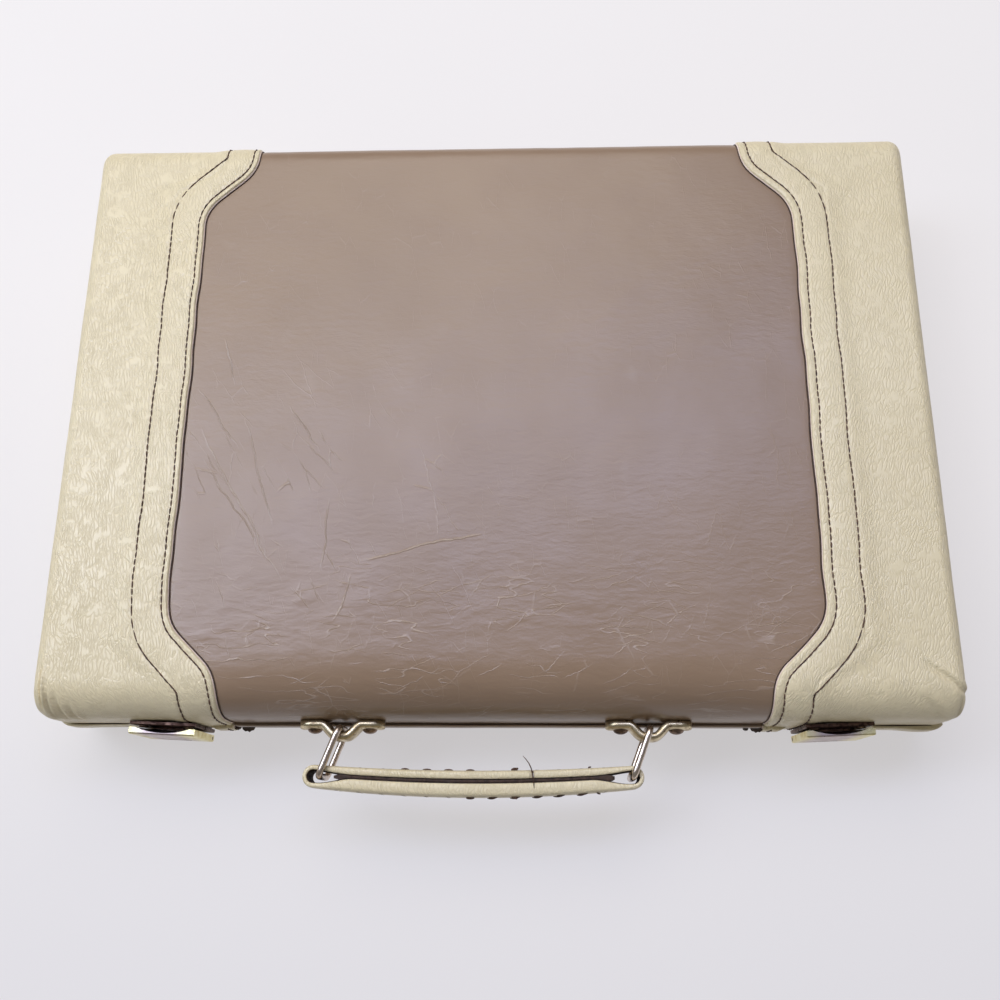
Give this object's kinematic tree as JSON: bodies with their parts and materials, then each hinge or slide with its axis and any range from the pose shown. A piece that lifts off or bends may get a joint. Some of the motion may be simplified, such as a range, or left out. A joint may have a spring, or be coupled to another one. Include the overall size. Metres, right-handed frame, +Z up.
{
  "type": "folding backgammon case",
  "caption": "Closed attache-style backgammon board in two-tone vinyl: halves hinged along the back edge, front latches, ringed strap handle, troughs, checkers, dice and cups inside.",
  "frame": {"origin": "middle of the overall footprint, handle and hinge barrels included, on the plane that the closed case rests on", "axes": "+X along the case to the right seen from the handle side, +Y from the handle to the hinges, +Z up through the lid"},
  "size_m": [0.38, 0.3056, 0.064],
  "materials": {
    "frame_wood": "dark stained, lined rim",
    "hardboard": "matte",
    "taupe_vinyl": "satin, creased",
    "cream_vinyl": "satin, fine grain",
    "handle_vinyl": "satin, fine grain",
    "field_felt": "felt",
    "point_light": "matte",
    "point_dark": "matte",
    "aged_brass": "tarnished",
    "dark_brass": "dark tarnish",
    "hinge_brass": "satin",
    "rivet_steel": "aged",
    "ring_steel": "worn plating",
    "checker_light": "polished",
    "checker_dark": "polished",
    "cup_leather": "satin",
    "die_ivory": "polished",
    "die_brown": "polished"
  },
  "bodies": {
    "base": {"base_frame": "frame_wood", "base_panel": "hardboard", "base_cover_centre": "taupe_vinyl", "base_cover_left": "cream_vinyl", "base_cover_right": "cream_vinyl", "base_playing_field": "field_felt", "base_points_light": "point_light", "base_points_dark": "point_dark", "base_trough_wall": "frame_wood", "trough_dividers": "frame_wood", "checkers_light": "checker_light", "checkers_dark": "checker_dark", "dice_cup_left": "cup_leather", "dice_cup_right": "cup_leather", "dice_light": "die_ivory", "dice_dark": "die_brown", "doubling_cube": "die_ivory", "hinge_leaves_base": "hinge_brass", "hinge_pins": "rivet_steel", "hinge_screws_base": "rivet_steel", "latch_plate_left": "dark_brass", "latch_plate_right": "dark_brass", "latch_pins": "rivet_steel", "latch_plate_rivets": "rivet_steel"},
    "lid": {"lid_frame": "frame_wood", "lid_panel": "hardboard", "lid_cover_centre": "taupe_vinyl", "lid_cover_left": "cream_vinyl", "lid_cover_right": "cream_vinyl", "lid_playing_field": "field_felt", "lid_points_light": "point_light", "lid_points_dark": "point_dark", "lid_trough_wall": "frame_wood", "hinge_leaves_lid": "hinge_brass", "hinge_screws_lid": "rivet_steel", "keeper_left": "dark_brass", "keeper_right": "dark_brass", "keeper_rivets": "rivet_steel", "handle_bracket_left": "aged_brass", "handle_bracket_right": "aged_brass", "bracket_rivets": "rivet_steel"},
    "latch_lever_left": {"latch_lever_left": "aged_brass"},
    "latch_lever_right": {"latch_lever_right": "aged_brass"},
    "ring_left": {"ring_left": "ring_steel"},
    "ring_right": {"ring_right": "ring_steel"},
    "handle_strap": {"handle_strap": "handle_vinyl"}
  },
  "joints": [
    {"name": "lid_hinge", "type": "hinge", "parent": "base", "child": "lid", "pos_m": [0, 0.1503, 0.032], "axis": [-1, 0, 0], "range_deg": [0, 180]},
    {"name": "latch_left_pivot", "type": "hinge", "parent": "base", "child": "latch_lever_left", "pos_m": [-0.13917, -0.1268, 0.0198], "axis": [0.999, -0.0444, 0], "range_deg": [0, 75]},
    {"name": "latch_right_pivot", "type": "hinge", "parent": "base", "child": "latch_lever_right", "pos_m": [0.14217, -0.12666, 0.0198], "axis": [0.999, 0.0444, 0], "range_deg": [0, 75]},
    {"name": "ring_left_swing", "type": "hinge", "parent": "lid", "child": "ring_left", "pos_m": [-0.06425, -0.125, 0.0395], "axis": [0, 0, 1], "range_deg": [-41, 83]},
    {"name": "ring_right_swing", "type": "hinge", "parent": "lid", "child": "ring_right", "pos_m": [0.06425, -0.125, 0.0395], "axis": [0, 0, 1], "range_deg": [-41, 83]},
    {"name": "strap_pivot", "type": "hinge", "parent": "ring_left", "child": "handle_strap", "pos_m": [-0.07178, -0.1446, 0.0395], "axis": [0, 0, 1], "range_deg": [-83, 41]}
  ],
  "couplings": [
    {"joint": "ring_right_swing", "follows": "ring_left_swing", "ratio": 1},
    {"joint": "strap_pivot", "follows": "ring_left_swing", "ratio": -1}
  ]
}
